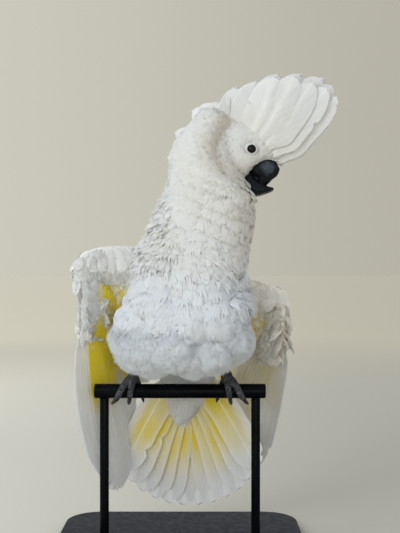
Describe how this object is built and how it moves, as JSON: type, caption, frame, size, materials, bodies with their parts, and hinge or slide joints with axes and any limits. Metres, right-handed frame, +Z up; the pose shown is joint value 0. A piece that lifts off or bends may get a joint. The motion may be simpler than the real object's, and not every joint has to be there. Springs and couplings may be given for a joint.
{
  "type": "white cockatoo",
  "caption": "Life-size still white cockatoo, crest raised and wings half open, gripping a short bar that a flat-based display stand holds up.",
  "frame": {"origin": "centre of the area under the perch, on the stand base's underside, straight below the middle of the perch", "axes": "+Z up, the bird's breast faces -Y, its left side is +X, the perch runs along X"},
  "size_m": [0.3146, 0.2209, 0.53],
  "materials": {
    "white_feather": "soft white body feathers",
    "flight_feather": "white flight and tail feathers with pale yellow inner webs",
    "bill": "near-black horn with a blue-grey bloom",
    "eye": "wet, very dark brown",
    "foot_skin": "dark grey scaly skin",
    "claw": "near-black horn",
    "black_paint": "black semi-gloss paint"
  },
  "bodies": {
    "root": {"trunk": "white_feather", "neck": "white_feather", "head": "white_feather", "crest": "white_feather", "bill_upper": "bill", "bill_lower": "bill", "eye_right": "eye", "eye_left": "eye", "tail": "flight_feather", "wing_right_hand": "flight_feather", "wing_right_arm": "white_feather", "wing_left_hand": "flight_feather", "wing_left_arm": "white_feather", "thigh_right": "white_feather", "thigh_left": "white_feather", "leg_right": "foot_skin", "leg_left": "foot_skin", "claw_right_inner_front": "claw", "claw_right_outer_front": "claw", "claw_right_inner_back": "claw", "claw_right_outer_back": "claw", "claw_left_inner_front": "claw", "claw_left_outer_front": "claw", "claw_left_inner_back": "claw", "claw_left_outer_back": "claw", "perch": "black_paint", "stand_rod_right": "black_paint", "stand_rod_left": "black_paint", "stand_base": "black_paint"}
  },
  "joints": []
}
